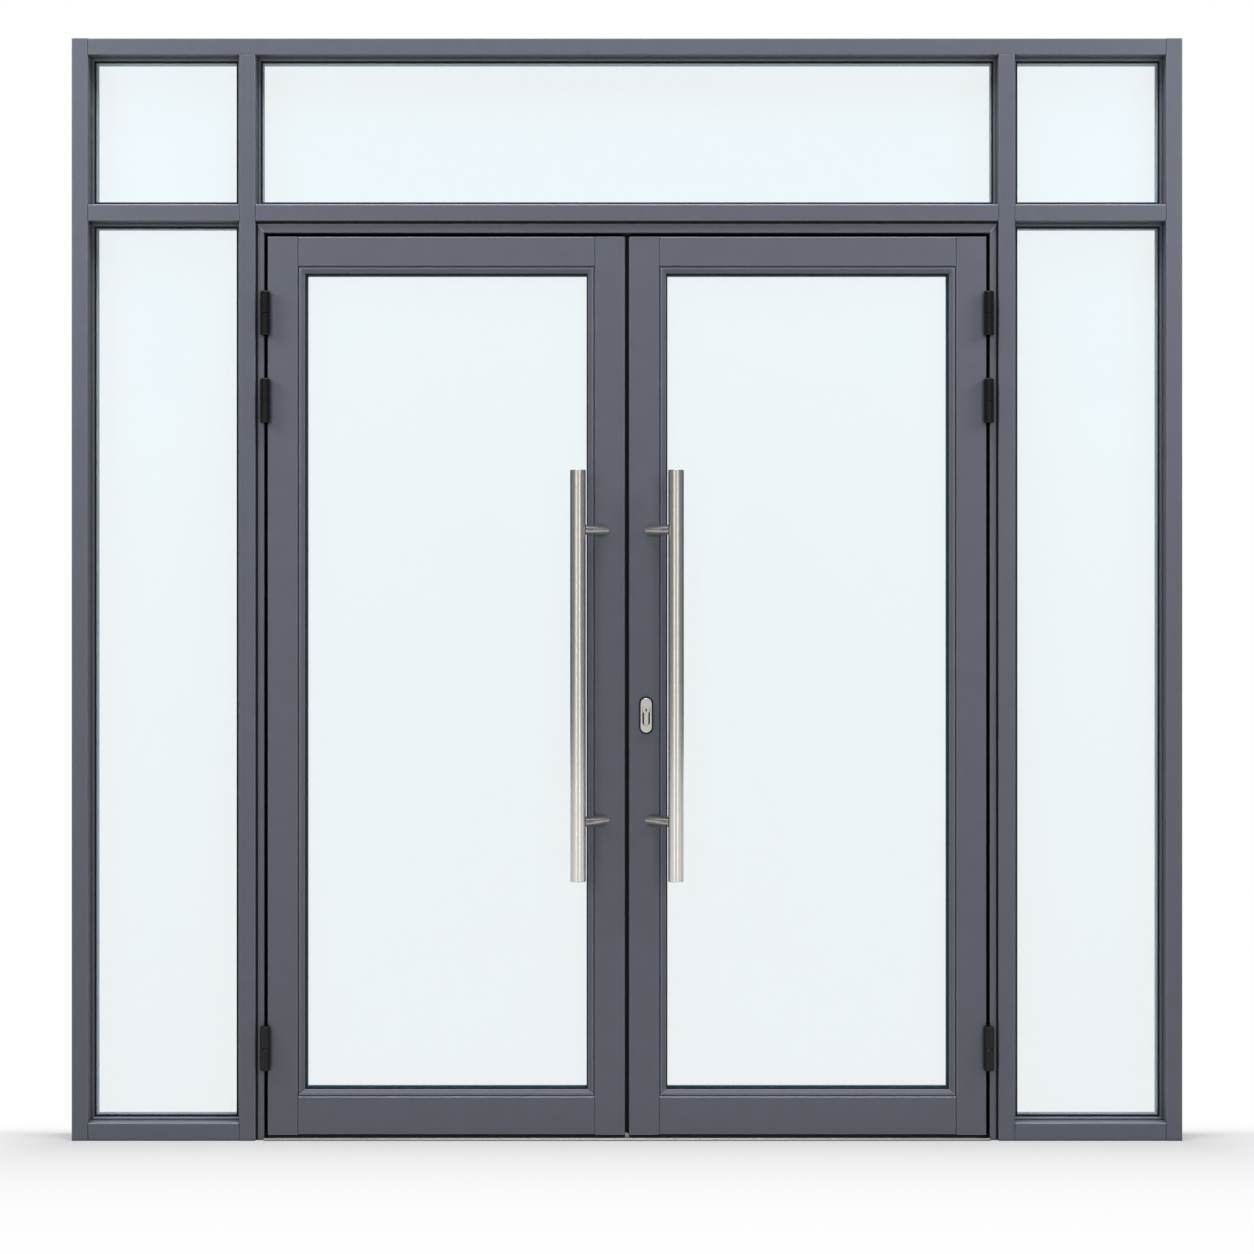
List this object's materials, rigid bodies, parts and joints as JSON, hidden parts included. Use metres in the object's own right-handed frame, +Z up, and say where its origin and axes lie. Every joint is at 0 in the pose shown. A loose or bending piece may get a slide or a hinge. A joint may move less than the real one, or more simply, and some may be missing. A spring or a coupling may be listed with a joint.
{
  "type": "double entrance door with sidelights and toplights",
  "caption": "Glazed aluminium double entrance door, its outward-opening leaves hung on barrel hinges in a fixed frame with sidelights, toplights and long pull bars.",
  "frame": {"origin": "on the floor, at the middle of the threshold's length and of the frame's depth", "axes": "+X to the right seen from outside, +Y from the outside to the inside, +Z up"},
  "size_m": [2.72, 0.1389, 2.7],
  "materials": {
    "frame_coat": "anthracite grey powder coat, fine satin texture",
    "clear_glass": "clear sealed double glazing, faintly blue",
    "spacer_bar": "mill-finish spacer bar between the panes",
    "seal_rubber": "matt black gasket and seal rubber",
    "hinge_black": "black powder coat",
    "satin_steel": "satin brushed stainless steel",
    "threshold_aluminium": "silver anodised aluminium"
  },
  "bodies": {
    "frame": {"left_jamb": "frame_coat", "right_jamb": "frame_coat", "head": "frame_coat", "left_mullion": "frame_coat", "right_mullion": "frame_coat", "left_transom": "frame_coat", "centre_transom": "frame_coat", "right_transom": "frame_coat", "left_sill": "frame_coat", "right_sill": "frame_coat", "threshold": "threshold_aluminium", "left_door_jamb": "frame_coat", "right_door_jamb": "frame_coat", "door_head": "frame_coat", "door_frame_seals": "seal_rubber", "left_sidelight_glass": "clear_glass", "right_sidelight_glass": "clear_glass", "left_toplight_glass": "clear_glass", "centre_toplight_glass": "clear_glass", "right_toplight_glass": "clear_glass", "fixed_light_beads": "frame_coat", "fixed_light_gaskets": "seal_rubber", "fixed_light_spacers": "spacer_bar", "left_frame_hinges": "hinge_black", "right_frame_hinges": "hinge_black"},
    "left_leaf": {"left_leaf_hinge_stile": "frame_coat", "left_leaf_meeting_stile": "frame_coat", "left_leaf_top_rail": "frame_coat", "left_leaf_bottom_rail": "frame_coat", "left_leaf_glass": "clear_glass", "left_leaf_spacer": "spacer_bar", "left_leaf_gaskets": "seal_rubber", "left_leaf_beads": "frame_coat", "left_leaf_hinges": "hinge_black", "left_leaf_pull_handle": "satin_steel", "left_leaf_seals": "seal_rubber", "strike_plate": "satin_steel"},
    "right_leaf": {"right_leaf_hinge_stile": "frame_coat", "right_leaf_meeting_stile": "frame_coat", "right_leaf_top_rail": "frame_coat", "right_leaf_bottom_rail": "frame_coat", "right_leaf_glass": "clear_glass", "right_leaf_spacer": "spacer_bar", "right_leaf_gaskets": "seal_rubber", "right_leaf_beads": "frame_coat", "right_leaf_hinges": "hinge_black", "right_leaf_pull_handle": "satin_steel", "right_leaf_seals": "seal_rubber", "lock_bases": "hinge_black", "lock_covers": "satin_steel", "lock_cylinder": "satin_steel", "lock_forend": "satin_steel"}
  },
  "joints": [
    {"name": "left_leaf_hinge", "type": "hinge", "parent": "frame", "child": "left_leaf", "pos_m": [-0.8855, -0.0393, 1.1], "axis": [0, 0, -1], "range_deg": [0, 110]},
    {"name": "right_leaf_hinge", "type": "hinge", "parent": "frame", "child": "right_leaf", "pos_m": [0.8855, -0.0393, 1.1], "axis": [0, 0, 1], "range_deg": [0, 110]}
  ]
}
